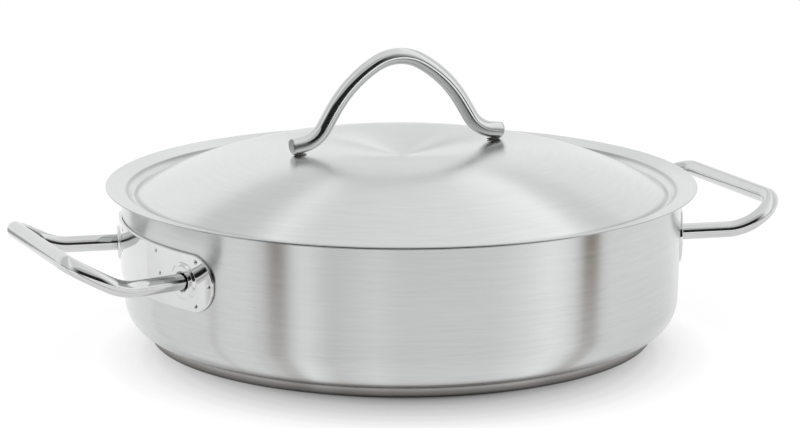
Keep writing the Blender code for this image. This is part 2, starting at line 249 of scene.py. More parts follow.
grey_corners = [(-70, 0.30), (-62, 0.30), (-62, 2.5), (-70, 2.5)]
room_tone = (0.02, 0.02, 0.02, 1.0)
room_edge_deg = 50
room_far = 8.0


def card_tone(wall_deg, strength):
    """The fan's tone at this bearing of the wall, with its dark bands at this strength."""
    spans = zip(card_tones, card_tones[1:])
    (start, low), (end, high) = next(span for span in spans if wall_deg <= span[1][0])
    tone = low + (high - low) * (wall_deg - start) / (end - start)
    return tone if tone > even_tone else even_tone + (tone - even_tone) * strength


def mirrored_place(wall_deg, away):
    """The place that the wall mirrors to the camera from this bearing, this far from it."""
    wall = math.radians(wall_deg)
    facing = 2 * wall + math.radians(view_spread_deg) * math.sin(wall)
    place = Vector((wall_reach * math.sin(wall), -wall_reach * math.cos(wall), 0.0))
    place += Vector((math.sin(facing), -math.cos(facing), 0.0)) * away
    return tuple(Matrix.Rotation(math.radians(camera_turn_deg), 3, "Z") @ place)


def glowing_finish(name):
    """A finish that only gives light. Gives the material, its node tree and its light."""
    finish = bpy.data.materials.new(name)
    finish.use_nodes = True
    tree = finish.node_tree
    tree.nodes.clear()
    light = add_node(tree, "ShaderNodeEmission")
    out = add_node(tree, "ShaderNodeOutputMaterial")
    join(tree, light.outputs[0], out.inputs["Surface"])
    return finish, tree, light


def seen_in_metal_only(name, places, faces, finish):
    """Puts a card in the scene where only mirror rays meet it. Gives its mesh."""
    mesh = bpy.data.meshes.new(name)
    mesh.from_pydata(places, [], faces)
    mesh.materials.append(finish)
    card = in_scene(name, mesh)
    card.visible_camera = False
    card.visible_diffuse = False
    card.visible_shadow = False
    card.visible_transmission = False
    return mesh


fan_finish, tree, strip_light = glowing_finish("card_tones")
strip_tone = add_node(tree, "ShaderNodeVertexColor", layer_name="tone")
join(tree, strip_tone.outputs["Color"], strip_light.inputs["Color"])
fan_start, fan_end = card_tones[0][0], card_tones[-1][0]
strip_count = round((fan_end - fan_start) / strip_step_deg)
strip_edges = [fan_start + strip_step_deg * step for step in range(strip_count + 1)]
places = [mirrored_place(deg, away) for away, strength, gain in card_rings for deg in strip_edges]
faces = []
for ring in range(len(card_rings) - 1):
    for strip in range(strip_count):
        corner = ring * len(strip_edges) + strip
        beyond = corner + len(strip_edges)
        faces.append((corner, corner + 1, beyond + 1, beyond))
fan = seen_in_metal_only("card_fan", places, faces, fan_finish)
tones = fan.color_attributes.new("tone", "FLOAT_COLOR", "POINT")
levels = [
    card_tone(deg, strength) * gain for away, strength, gain in card_rings for deg in strip_edges
]
for point, level in zip(tones.data, levels):
    shade = max(even_tone - level, 0.0)
    point.color = (*(level + shade * warmth for warmth in band_warmth), 1.0)

grey_finish, tree, grey_light = glowing_finish("grey_card")
grey_light.inputs["Color"].default_value = grey_card_tone
places = [mirrored_place(deg, away) for deg, away in grey_corners]
seen_in_metal_only("grey_card", places, [(0, 1, 2, 3)], grey_finish)

room_finish = bpy.data.materials.new("dark_room")
room_finish.use_nodes = True
room_shader = room_finish.node_tree.nodes["Principled BSDF"]
room_shader.inputs["Base Color"].default_value = room_tone
room_shader.inputs["Roughness"].default_value = 1.0
room_shader.inputs["Specular IOR Level"].default_value = 0.0
room_edges = (card_rings[-1][0], room_far)
room_bearings = [deg for deg in strip_edges if abs(deg) <= room_edge_deg]
places = [mirrored_place(deg, away) for deg in room_bearings for away in room_edges]
faces = [(2 * i, 2 * i + 1, 2 * i + 3, 2 * i + 2) for i in range(len(room_bearings) - 1)]
seen_in_metal_only("dark_room_floor", places, faces, room_finish)

# Pot shell: one sheet of stainless steel, deep drawn, with an elliptical corner and a
# plain cut rim, then brushed round the wall with a belt.
turned_steps = 288
shell_low, shell_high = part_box("pot_shell")
rim_height = shell_high.z
rim_radius = shell_high.x
rim_edge_round = 0.0004
wall_sheet = 0.0012
wall_draft = 0.0014
corner_reach = 0.0164
corner_rise = 0.0181
corner_steps = 24
floor_rings = (0.0, 0.04, 0.10)
wall_colour = (0.60, 0.61, 0.61)
belt_share = 0.72
floor_radius = rim_radius - wall_draft - corner_reach
corner_top = shell_low.z + corner_rise


def curve_points(centre, reach, rise, start_deg, end_deg, steps):
    """Points on an ellipse in the turning plane, from one angle to another."""
    points = []
    for step in range(steps + 1):
        angle = math.radians(start_deg + (end_deg - start_deg) * step / steps)
        points.append((centre[0] + reach * math.cos(angle), centre[1] + rise * math.sin(angle)))
    return points


def held(outline):
    """The outline with a point close to each end of its long straights, to keep them flat."""
    longest = 0.0035
    hold = 0.00025
    points = [outline[0]]
    for before, point in zip(outline, outline[1:]):
        straight = Vector(point) - Vector(before)
        if straight.length > longest:
            step = straight.normalized() * hold
            points.append(tuple(Vector(before) + step))
            points.append(tuple(Vector(point) - step))
        points.append(point)
    return points


def metal_mesh(bm, name, finish, sharp_deg=None):
    """A smooth mesh with its faces outward, and edges sharp from this angle where one is given."""
    bmesh.ops.recalc_face_normals(bm, faces=bm.faces)
    mesh = made_mesh(bm, name)
    mesh.shade_smooth()
    if sharp_deg is not None:
        mesh.set_sharp_from_angle(angle=math.radians(sharp_deg))
    mesh.materials.append(finish)
    return mesh


def spun_piece(name, outline, finish):
    """A closed solid turned about Z from an outline that starts and ends on the axis."""
    outline = held(outline)
    bm = bmesh.new()
    low_pole = bm.verts.new((0.0, 0.0, outline[0][1]))
    high_pole = bm.verts.new((0.0, 0.0, outline[-1][1]))
    rings = []
    for radius, height in outline[1:-1]:
        ring = []
        for step in range(turned_steps):
            angle = math.tau * step / turned_steps
            ring.append(bm.verts.new((radius * math.cos(angle), radius * math.sin(angle), height)))
        rings.append(ring)
    for step in range(turned_steps):
        after = (step + 1) % turned_steps
        bm.faces.new((low_pole, rings[0][after], rings[0][step]))
        bm.faces.new((high_pole, rings[-1][step], rings[-1][after]))
        for inner, outer in zip(rings, rings[1:]):
            bm.faces.new((inner[step], inner[after], outer[after], outer[step]))
    piece = in_scene(name, metal_mesh(bm, name, finish, sharp_deg=40))
    return piece


def bare_metal(name, colour, roughness, anisotropy=0.0):
    """A metal finish. Gives the material, its node tree and its shader."""
    finish = bpy.data.materials.new(name)
    finish.use_nodes = True
    tree = finish.node_tree
    shader = tree.nodes["Principled BSDF"]
    shader.inputs["Base Color"].default_value = (*colour, 1.0)
    shader.inputs["Metallic"].default_value = 1.0
    shader.inputs["Roughness"].default_value = roughness
    shader.inputs["Anisotropic"].default_value = anisotropy
    finish.diffuse_color = (*colour, 1.0)
    return finish, tree, shader


def grain_round_axis(tree, shader):
    """Turns the shader's grain round the Z axis, so that highlights run across the brushing."""
    grain = add_node(tree, "ShaderNodeTangent", direction_type="RADIAL", axis="Z")
    shader.inputs["Anisotropic Rotation"].default_value = 0.25
    join(tree, grain.outputs[0], shader.inputs["Tangent"])


def stretched(tree, scale=(1, 1, 1)):
    """The object's own coordinates, stretched by these factors."""
    place = add_node(tree, "ShaderNodeTexCoord")
    stretch = add_node(tree, "ShaderNodeMapping")
    stretch.inputs["Scale"].default_value = scale
    join(tree, place.outputs["Object"], stretch.inputs["Vector"])
    return stretch.outputs[0]


def noise(tree, vector, scale=1.0, detail=3.0, roughness=0.5):
    """A noise pattern on this vector. Gives its level."""
    pattern = add_node(tree, "ShaderNodeTexNoise")
    join(tree, vector, pattern.inputs["Vector"])
    pattern.inputs["Scale"].default_value = scale
    pattern.inputs["Detail"].default_value = detail
    pattern.inputs["Roughness"].default_value = roughness
    return pattern.outputs["Fac"]


def spread(tree, level, low, high):
    """Spreads the middle half of a noise level over the range from low to high."""
    fitted = add_node(tree, "ShaderNodeMapRange")
    join(tree, level, fitted.inputs["Value"])
    fitted.inputs["From Min"].default_value = 0.25
    fitted.inputs["From Max"].default_value = 0.75
    fitted.inputs["To Min"].default_value = low
    fitted.inputs["To Max"].default_value = high
    return fitted.outputs["Result"]


def tinted(tree, shader, level, colour, dark, light):
    """The shader's colour, times a factor that goes from dark to light with a noise level."""
    blend = add_node(tree, "ShaderNodeMix", data_type="RGBA")
    join(tree, spread(tree, level, 0.0, 1.0), blend.inputs["Factor"])
    blend.inputs["A"].default_value = (*(channel * dark for channel in colour), 1.0)
    blend.inputs["B"].default_value = (*(channel * light for channel in colour), 1.0)
    join(tree, blend.outputs["Result"], shader.inputs["Base Color"])


def multiplied(tree, shader, level):
    """Takes the shader's colour times this level."""
    product = add_node(tree, "ShaderNodeVectorMath", operation="MULTIPLY")
    join(tree, shader.inputs["Base Color"].links[0].from_socket, product.inputs[0])
    join(tree, level, product.inputs[1])
    join(tree, product.outputs[0], shader.inputs["Base Color"])


def roughened(tree, shader, *layers):
    """The shader's roughness, as a sum of layers. Each is (noise level, low, high)."""
    spreads = [spread(tree, level, low, high) for level, low, high in layers]
    total = spreads[0]
    for layer in spreads[1:]:
        total = math_step(tree, "ADD", total, layer)
    join(tree, total, shader.inputs["Roughness"])


def relief(tree, shader, level, distance, strength):
    """Fine relief from a level, in metres."""
    bump = add_node(tree, "ShaderNodeBump")
    bump.inputs["Distance"].default_value = distance
    bump.inputs["Strength"].default_value = strength
    join(tree, level, bump.inputs["Height"])
    join(tree, bump.outputs[0], shader.inputs["Normal"])


wall_finish, tree, shader = bare_metal(
    "brushed_wall_steel", wall_colour, roughness=0.235, anisotropy=0.78
)
grain_round_axis(tree, shader)
belt_lines = noise(tree, stretched(tree, (55, 55, 1300)), detail=4.0, roughness=0.65)
broad_lines = noise(tree, stretched(tree, (5, 5, 420)), detail=2.0)
cloud = noise(tree, stretched(tree), scale=24.0)
lines = math_step(
    tree,
    "ADD",
    math_step(tree, "MULTIPLY", belt_lines, belt_share),
    math_step(tree, "MULTIPLY", broad_lines, 1 - belt_share),
)
tinted(tree, shader, lines, wall_colour, 0.94, 1.06)
roughened(tree, shader, (lines, 0.215, 0.255), (cloud, -0.010, 0.010))
relief(tree, shader, belt_lines, distance=0.00003, strength=0.05)

corner_middle = (floor_radius, corner_top)
wall_top = rim_height - rim_edge_round
rim_middle = (rim_radius - rim_edge_round, wall_top)
inner_middle = (rim_radius - wall_sheet + rim_edge_round, wall_top)
inner_reach = corner_reach - wall_sheet
inner_rise = corner_rise - wall_sheet
shell_outline = [(reach, shell_low.z) for reach in floor_rings]
shell_outline += curve_points(corner_middle, corner_reach, corner_rise, -90, 0, corner_steps)
shell_outline.append((rim_radius, wall_top))
shell_outline += curve_points(rim_middle, rim_edge_round, rim_edge_round, 20, 90, 4)
shell_outline += curve_points(inner_middle, rim_edge_round, rim_edge_round, 90, 180, 5)
shell_outline += curve_points(corner_middle, inner_reach, inner_rise, 0, -90, corner_steps)
shell_outline += [(reach, shell_low.z + wall_sheet) for reach in reversed(floor_rings)]
pot = spun_piece("pot_wall", shell_outline, wall_finish)
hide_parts("pot_shell")
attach(pot, "pot")

# Base: an aluminium disc sealed under the pot's floor by a magnetic steel cap, which is
# pressed round it and left dull. The disc's own solid stays, hidden between the two.
cap_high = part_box("base_cap")[1]
cap_radius = cap_high.x
cap_top = cap_high.z
cap_sheet = 0.0008
cap_low_round = 0.0010
cap_high_round = 0.0006
cap_rings = (0.0, 0.05, 0.10)
cap_colour = (0.42, 0.41, 0.40)
cap_painted_shade = [(0.15, 0.36), (0.45, 0.64), (0.80, 1.00)]
core_colour = (0.72, 0.72, 0.73)


def own_sides(tree, scale=(1, 1, 1)):
    """The object's own X, Y and Z, stretched by these factors."""
    sides = add_node(tree, "ShaderNodeSeparateXYZ")
    join(tree, stretched(tree, scale), sides.inputs[0])
    return sides.outputs


def reach_from_axis(tree):
    """How far a place on the object is from its Z axis."""
    reach = add_node(tree, "ShaderNodeVectorMath", operation="LENGTH")
    join(tree, stretched(tree, (1, 1, 0)), reach.inputs[0])
    return reach.outputs["Value"]


def ring_lines(tree, fineness):
    """Fine rings round the Z axis, each one changing a little along its length."""
    sides = own_sides(tree, (40, 40, 0))
    laid = add_node(tree, "ShaderNodeCombineXYZ")
    join(tree, sides["X"], laid.inputs["X"])
    join(tree, sides["Y"], laid.inputs["Y"])
    join(tree, math_step(tree, "MULTIPLY", reach_from_axis(tree), fineness), laid.inputs["Z"])
    return noise(tree, laid.outputs[0], detail=4.0, roughness=0.6)


cap_finish, tree, shader = bare_metal(
    "dull_base_steel", cap_colour, roughness=0.42, anisotropy=0.45
)
grain_round_axis(tree, shader)
rings = ring_lines(tree, 1500.0)
tinted(tree, shader, rings, cap_colour, 0.92, 1.08)
roughened(tree, shader, (rings, 0.36, 0.50))
height_share = math_step(tree, "DIVIDE", own_sides(tree)["Z"], cap_top)
# Painted shade: the cap's colour darkens towards its bottom edge, for the table's dark contact
# shadow that it mirrors.
multiplied(tree, shader, grey_ramp(tree, height_share, cap_painted_shade))
relief(tree, shader, rings, distance=0.00004, strength=0.3)

low_middle = (cap_radius - cap_low_round, cap_low_round)
high_middle = (cap_radius - cap_high_round, cap_top - cap_high_round)
cap_outline = [(reach, 0.0) for reach in cap_rings]
cap_outline += curve_points(low_middle, cap_low_round, cap_low_round, -90, 0, 6)
cap_outline += curve_points(high_middle, cap_high_round, cap_high_round, 0, 90, 4)
cap_outline += [(cap_radius - cap_sheet, cap_top), (cap_radius - cap_sheet, cap_sheet)]
cap_outline += [(reach, cap_sheet) for reach in reversed(cap_rings)]
cap = spun_piece("base_cap_ring", cap_outline, cap_finish)
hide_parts("base_cap")
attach(cap, "pot")

core_finish, tree, shader = bare_metal("bare_aluminium_core", core_colour, roughness=0.45)
mill = noise(tree, stretched(tree), scale=160.0, detail=4.0)
roughened(tree, shader, (mill, 0.40, 0.52))
relief(tree, shader, mill, distance=0.00005, strength=0.2)
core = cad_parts["base_core"]
core.data.materials.clear()
core.data.materials.append(core_finish)

# Handle plates: pressed stainless steel with round ends, bent to the wall, mirror polished
# and spot welded to it, each weld a small dark dot. A raised boss round each rod end takes
# the rod through a bore.
plate_low, plate_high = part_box("handle_plate_right")
plate_sheet = 0.0015
plate_gap = 0.0003
plate_half_length = 0.0752
plate_half_height = (plate_high.z - plate_low.z) / 2
socket_height = (plate_high.z + plate_low.z) / 2
socket_deg = 18.9
leg_splay_deg = 11.2
rod_radius = 0.0046
boss_radius = 0.0105
boss_top_radius = 0.0086
boss_rise = 0.0013
bore_clearance = 0.0011
bore_radius = rod_radius + bore_clearance
cutter_length = 0.014
edge_round = 0.0006
weld_places = [  # outward from the socket, and up
    (-0.0254, 0.0126), (0.0104, 0.0124), (0.0200, 0.0), (0.0097, -0.0124), (-0.0219, 0.0007),
]
dimple_radius = 0.0012
dimple_depth = 0.0009
dimple_steepness = 1.6
weld_mark_radius = 0.0011
weld_mark_steepness = 1.8
weld_darkness = 0.85
plate_colour = (0.70, 0.705, 0.705)
socket_draft = wall_draft * (rim_height - socket_height) / (rim_height - corner_top)
plate_radius = rim_radius - socket_draft + plate_gap
socket_along = math.radians(socket_deg) * plate_radius
plate_straight = plate_half_length - plate_half_height

plate_finish, tree, shader = bare_metal("polished_plate_steel", plate_colour, roughness=0.05)
smears = noise(tree, stretched(tree), scale=70.0, detail=4.0, roughness=0.6)
hairlines = noise(tree, stretched(tree, (160, 160, 1900)))
roughened(tree, shader, (smears, 0.03, 0.07), (hairlines, 0.0, 0.02))
tinted(tree, shader, smears, plate_colour, 0.97, 1.03)
worn = add_node(tree, "ShaderNodeVertexColor", layer_name="worn")
multiplied(tree, shader, worn.outputs["Color"])
relief(tree, shader, smears, distance=0.00004, strength=0.08)


def eased(value):
    """A smooth step from 0 to 1."""
    value = min(max(value, 0.0), 1.0)
    return value * value * (3 - 2 * value)


def edge_fall(inward):
    """How far a rounded edge lies below the face, this far in from the edge."""
    return edge_round - math.sqrt(max(edge_round**2 - (edge_round - inward) ** 2, 0.0))


def plate_face_depth(along, up):
    """How far the plate's front face stands from its back face, at this place on it."""
    beyond = max(abs(along) - plate_straight, 0.0)
    to_edge = plate_half_height - math.hypot(beyond, up)
    depth = plate_sheet
    if to_edge < edge_round:
        depth -= edge_fall(to_edge)
    for side in (1, -1):
        away = math.hypot(along - side * socket_along, up)
        depth += boss_rise * eased((boss_radius - away) / (boss_radius - boss_top_radius))
        lip = away - bore_radius
        if 0 <= lip < edge_round:
            depth -= edge_fall(lip)
        for outward, height in weld_places:
            place = side * (socket_along + outward)
            spot = math.hypot(along - place, up - height)
            inside = (dimple_radius - spot) / dimple_radius
            depth -= dimple_depth * eased(inside * dimple_steepness)
    return depth


def plate_columns():
    """Places along the plate, close together at the bosses, the dots and the round ends."""
    fine_step = 0.0004
    coarse_step = 0.0008
    end_step = 0.00012
    end_zone = 0.006
    end_share = 0.12
    boss_margin = 0.0005
    dot_margin = 0.0010
    columns = []
    place = 0.0
    while place < plate_half_length - fine_step:
        columns.append(place)
        near_boss = abs(place - socket_along) < boss_radius + boss_margin
        to_dot = min(abs(place - socket_along - outward) for outward, height in weld_places)
        step = fine_step if near_boss or to_dot < dot_margin else coarse_step
        left = plate_half_length - place
        if left < end_zone:
            step = min(step, max(end_step, left * end_share))
        place += step
    columns.append(plate_half_length - end_step)
    return sorted({-value for value in columns} | set(columns))


def place_on_wall(along, up, depth):
    """A point at this place on the plate, this far out from the plate's back."""
    height = socket_height + up
    draft = wall_draft * (rim_height - height) / (rim_height - corner_top)
    radius = rim_radius - draft + plate_gap + depth
    angle = along / plate_radius
    return Vector((radius * math.cos(angle), radius * math.sin(angle), height))


def plate_mesh(name):
    """The plate as one closed mesh, with a grid on its front and on its back."""
    rows = 72
    bunching = 0.35
    bm = bmesh.new()
    fronts = []
    backs = []
    for along in plate_columns():
        beyond = max(abs(along) - plate_straight, 0.0)
        half = math.sqrt(max(plate_half_height**2 - beyond**2, 0.0))
        front = []
        back = []
        for row in range(rows + 1):
            up = half * math.sin(math.pi / 2 * (2 * row / rows - 1)) * bunching
            up += half * (2 * row / rows - 1) * (1 - bunching)
            front.append(bm.verts.new(place_on_wall(along, up, plate_face_depth(along, up))))
            back.append(bm.verts.new(place_on_wall(along, up, 0.0)))
        fronts.append(front)
        backs.append(back)
    for side_by_side in (fronts, backs):
        for one, two in zip(side_by_side, side_by_side[1:]):
            for row in range(rows):
                bm.faces.new((one[row], two[row], two[row + 1], one[row + 1]))
    for row in (0, rows):
        for column in range(len(fronts) - 1):
            front_edge = (fronts[column][row], fronts[column + 1][row])
            bm.faces.new((*front_edge, backs[column + 1][row], backs[column][row]))
    for front, back in ((fronts[0], backs[0]), (fronts[-1], backs[-1])):
        for row in range(rows):
            bm.faces.new((front[row], front[row + 1], back[row + 1], back[row]))
    return metal_mesh(bm, name, plate_finish, sharp_deg=50)


def leg_line(side):
    """Where the middle line of a leg meets the plate's front face, and its direction."""
    angle = math.radians(socket_deg)
    splay = math.radians(leg_splay_deg)
    radius = plate_radius + plate_sheet
    start = Vector((radius * math.cos(angle), side * radius * math.sin(angle), socket_height))
    return start, Vector((math.cos(splay), side * math.sin(splay), 0.0))


def bore_cutter(name, side):
    """A hidden cylinder along a leg that cuts its bore through the plate."""
    start, direction = leg_line(side)
    bm = bmesh.new()
    bmesh.ops.create_cone(
        bm,
        cap_ends=True,
        segments=64,
        radius1=bore_radius,
        radius2=bore_radius,
        depth=cutter_length,
    )
    turn = Vector((0, 0, 1)).rotation_difference(direction).to_matrix().to_4x4()
    bmesh.ops.transform(bm, matrix=Matrix.Translation(start) @ turn, verts=bm.verts)
    return in_scene(name, made_mesh(bm, name))


def settled(piece):
    """Applies a piece's modifiers to its own mesh."""
    graph = bpy.context.evaluated_depsgraph_get()
    finished = bpy.data.meshes.new_from_object(piece.evaluated_get(graph), depsgraph=graph)
    piece.modifiers.clear()
    piece.data = finished


plate = in_scene("handle_plate_right_polished", plate_mesh("handle_plate"))
cutters = [bore_cutter(f"bore_{side}", side) for side in (1, -1)]
for cutter in cutters:
    cut = plate.modifiers.new(cutter.name, "BOOLEAN")
    cut.operation = "DIFFERENCE"
    cut.solver = "EXACT"
    cut.object = cutter
settled(plate)
for cutter in cutters:
    bpy.data.objects.remove(cutter, do_unlink=True)
worn_tones = plate.data.color_attributes.new("worn", "FLOAT_COLOR", "POINT")
for vertex, tone in zip(plate.data.vertices, worn_tones.data):
    along = abs(math.atan2(vertex.co.y, vertex.co.x)) * plate_radius - socket_along
    up = vertex.co.z - socket_height
    nearest = min(math.hypot(along - outward, up - height) for outward, height in weld_places)
    inside = (weld_mark_radius - nearest) / weld_mark_radius
    level = 1 - weld_darkness * eased(inside * weld_mark_steepness)
    tone.color = (level, level, level, 1.0)
other_plate = in_scene("handle_plate_left_polished", plate.data)
other_plate.rotation_euler.z = math.pi
for piece, node in ((plate, "handle_plate_right"), (other_plate, "handle_plate_left")):
    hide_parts(node)
    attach(piece, "pot")

# Handle rods: round stainless bar, bent level to a wide loop and then up to the grip,
# polished all over. The two legs pass into the plate's bores and are welded behind.
grip_reach = 0.21608
grip_corner_radius = 0.0182
grip_rise_deg = 27.8
grip_bend_reach = 0.1891
grip_bend_half_width = 0.0080
leg_end_gap = 0.0004
rod_colour = (0.64, 0.645, 0.645)

rod_finish, tree, shader = bare_metal("polished_rod_steel", rod_colour, roughness=0.07)
smears = noise(tree, stretched(tree), scale=90.0, detail=4.0, roughness=0.6)
scuffs = noise(tree, stretched(tree), scale=900.0, detail=2.0)
roughened(tree, shader, (smears, 0.045, 0.09), (scuffs, 0.0, 0.02))
tinted(tree, shader, smears, rod_colour, 0.96, 1.03)
relief(tree, shader, scuffs, distance=0.00002, strength=0.06)


def closed_tube(bm, rings):
    """Faces from each ring of points to the next, and one over each end."""
    sides = len(rings[0])
    for one, two in zip(rings, rings[1:]):
        for side in range(sides):
            after = (side + 1) % sides
            bm.faces.new((one[side], one[after], two[after], two[side]))
    bm.faces.new(rings[0][::-1])
    bm.faces.new(rings[-1])


def round_bar(name, path, finish):
    """A round bar along a path, with lightly broken square-cut ends, as a closed mesh."""
    sides = 40
    chamfer = 0.0005
    start_step = (path[1] - path[0]).normalized()
    end_step = (path[-1] - path[-2]).normalized()
    places = [path[0], path[0] + start_step * chamfer] + path[1:-1]
    places += [path[-1] - end_step * chamfer, path[-1]]
    radii = [rod_radius] * len(places)
    radii[0] = radii[-1] = rod_radius - chamfer
    bm = bmesh.new()
    rings = []
    across = None
    for index, place in enumerate(places):
        before = places[max(index - 1, 0)]
        after = places[min(index + 1, len(places) - 1)]
        along = (after - before).normalized()
        if across is None:
            across = along.orthogonal().normalized()
        across = (across - along * across.dot(along)).normalized()
        over = along.cross(across)
        ring = []
        for side in range(sides):
            angle = math.tau * side / sides
            spoke = across * math.cos(angle) + over * math.sin(angle)
            ring.append(bm.verts.new(place + spoke * radii[index]))
        rings.append(ring)
    closed_tube(bm, rings)
    piece = in_scene(name, metal_mesh(bm, name, finish, sharp_deg=30))
    return piece


def grip_height(reach):
    """Height of the grip's middle line: level at the pot, then bent up to the grip."""
    slope = math.tan(math.radians(grip_rise_deg))
    beyond = reach - grip_bend_reach
    if beyond <= -grip_bend_half_width:
        return socket_height
    if beyond >= grip_bend_half_width:
        return socket_height + slope * beyond
    into_bend = beyond + grip_bend_half_width
    return socket_height + slope * into_bend**2 / (4 * grip_bend_half_width)


def side_grip_path():
    """Middle line of the grip, from one bore round to the other."""
    leg_steps = 22
    bend_steps = 26
    grip_steps = 8
    face, direction = leg_line(1)
    start = face - direction * (plate_sheet - leg_end_gap)
    corner = start + direction * (grip_reach - start.x) / direction.x
    bend = math.pi / 2 + math.radians(leg_splay_deg)
    corner_start = corner - direction * (grip_corner_radius * math.tan(bend / 2))
    centre = corner_start + grip_corner_radius * Vector((direction.y, -direction.x, 0.0))
    half = [start + (corner_start - start) * step / leg_steps for step in range(leg_steps)]
    for step in range(bend_steps + 1):
        angle = bend * (1 - step / bend_steps)
        half.append(centre + grip_corner_radius * Vector((math.cos(angle), math.sin(angle), 0.0)))
    end = half[-1]
    for step in range(1, grip_steps + 1):
        half.append(Vector((end.x, end.y * (1 - step / grip_steps), 0.0)))
    plan = half + [Vector((point.x, -point.y, 0.0)) for point in reversed(half[:-1])]
    return [Vector((point.x, point.y, grip_height(point.x))) for point in plan]


for side_name, turn in (("right", 0.0), ("left", math.pi)):
    grip = round_bar(f"side_grip_{side_name}", side_grip_path(), rod_finish)
    grip.rotation_euler.z = turn
    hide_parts(f"handle_rod_{side_name}")
    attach(grip, "pot")

# Lid: one spun stainless sheet with a sloping flange that rests on the rim, a groove that
# drops inside it, and a dome dished at the middle. It is left satin, in fine rings. Two darker
# rings of painted shade lie in the groove's creases. The cut edge is darker, partly as bare cut
# steel and partly as a painted shadow line under the lid's edge.
lid_low, lid_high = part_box("lid_shell")
lid_sheet = 0.0008
lid_drawn_sheet = 0.0006  # a little thinner than the real sheet, for the fine line of its edge
flange_slope_deg = 11.4
groove_clearance = 0.0018
groove_outer = rim_radius - wall_sheet - groove_clearance
groove_width = 0.0039
groove_depth = 0.0037
dome_rise = 0.0261
dome_power = 1.87
dome_steps = 48
crest_radius = 0.0616
dish_depth = 0.0050
dish_steps = 20
lid_edge_radius = 0.1685
lid_edge_steps = 8
lid_bend_radius = 0.0007
lid_bend_steps = 5
lid_colour = (0.68, 0.69, 0.69)
groove_shade_reach = 0.170
groove_painted_shade_and_cut_edge = [
    (0.0, 1.0), (0.1488, 1.0), (0.1514, 0.62), (0.1530, 1.0), (0.1548, 1.0), (0.1565, 0.60),
    (0.1580, 1.0), (0.1680, 1.0), (0.1684, 0.60),
]


def flange_height(radius):
    """Top of the flange at this radius."""
    slope = math.radians(flange_slope_deg)
    seat = rim_height + (plate_gap + lid_sheet) / math.cos(slope)
    return seat + (radius - rim_radius + wall_sheet) * math.tan(slope)


def softened(points, radius, steps):
    """The outline with its inner points rounded to this radius, where there is room."""
    most_of_side = 0.45
    nearly_straight = math.pi - 0.02
    least_cut = 0.00002
    rounded = [points[0]]
    for before, point, after in zip(points, points[1:], points[2:]):
        middle = Vector(point)
        to_before = Vector(before) - middle
        to_after = Vector(after) - middle
        angle = to_before.angle(to_after)
        room = min(to_before.length, to_after.length) * most_of_side
        cut = min(radius / math.tan(angle / 2), room) if angle < nearly_straight else 0.0
        if cut < least_cut:
            rounded.append(point)
            continue
        start = middle + to_before.normalized() * cut
        end = middle + to_after.normalized() * cut
        for step in range(steps + 1):
            share = step / steps
            spot = start * (1 - share) ** 2 + middle * 2 * share * (1 - share) + end * share**2
            rounded.append((spot.x, spot.y))
    rounded.append(points[-1])
    return rounded


def lid_top():
    """Upper surface of the lid, from the axis to its edge."""
    groove_floor = groove_outer - groove_width
    groove_bottom = flange_height(groove_outer) - groove_depth
    crest = groove_bottom + dome_rise
    points = []
    for step in range(dish_steps):
        share = step / dish_steps
        dip = dish_depth * (1 + math.cos(math.pi * share)) / 2
        points.append((crest_radius * share, crest - dip))
    for step in range(dome_steps + 1):
        share = step / dome_steps
        radius = crest_radius + (groove_floor - crest_radius) * share
        points.append((radius, crest - dome_rise * share**dome_power))
    points.append((groove_outer, flange_height(groove_outer)))
    points.append((lid_edge_radius, flange_height(lid_edge_radius)))
    return points


def shifted_outline(points, distance):
    """The outline moved square to itself by a sheet's thickness, downwards."""
    moved = []
    for index, point in enumerate(points):
        before = Vector(points[max(index - 1, 0)])
        after = Vector(points[min(index + 1, len(points) - 1)])
        along = (after - before).normalized()
        moved.append((max(point[0] + along.y * distance, 0.0), point[1] - along.x * distance))
    return moved


lid_upper = softened(lid_top(), lid_bend_radius, lid_bend_steps)
lid_lower = shifted_outline(lid_upper, lid_drawn_sheet)
lid_lower[0] = (0.0, lid_upper[0][1] - lid_drawn_sheet)
edge_top = Vector(lid_upper[-1])
edge_bottom = Vector(lid_lower[-1])
edge_middle = (edge_top + edge_bottom) / 2
edge_up = (edge_top - edge_bottom).normalized()
edge_out = Vector((edge_up.y, -edge_up.x))
pull_in = edge_out * lid_sheet / 2
edge_curve = []
for step in range(1, lid_edge_steps):
    angle = math.pi * step / lid_edge_steps - math.pi / 2
    across = (edge_top - edge_bottom) / 2
    spot = edge_middle - pull_in + across * math.sin(angle) + pull_in * math.cos(angle)
    edge_curve.append((spot.x, spot.y))
lid_upper[-1] = tuple(edge_top - pull_in)
lid_lower[-1] = tuple(edge_bottom - pull_in)
lid_outline = lid_lower + edge_curve + lid_upper[::-1]

lid_finish, tree, shader = bare_metal(
    "satin_lid_steel", lid_colour, roughness=0.215, anisotropy=0.89
)
grain_round_axis(tree, shader)
rings = ring_lines(tree, 900.0)
broad_rings = ring_lines(tree, 400.0)
turning = math_step(tree, "MULTIPLY", math_step(tree, "ADD", rings, broad_rings), 0.5)
tinted(tree, shader, turning, lid_colour, 0.945, 1.055)
# Painted shade: darker rings in the groove's creases, and at the cut edge a darker tone that also
# paints the shadow line under the lid.
multiplied(tree, shader, grey_ramp(tree, reach_from_axis(tree), groove_painted_shade_and_cut_edge, groove_shade_reach))
roughened(tree, shader, (turning, 0.195, 0.235))
relief(tree, shader, rings, distance=0.00003, strength=0.04)
lid = spun_piece("lid_dome", lid_outline, lid_finish)
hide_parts("lid_shell")
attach(lid, "lid")

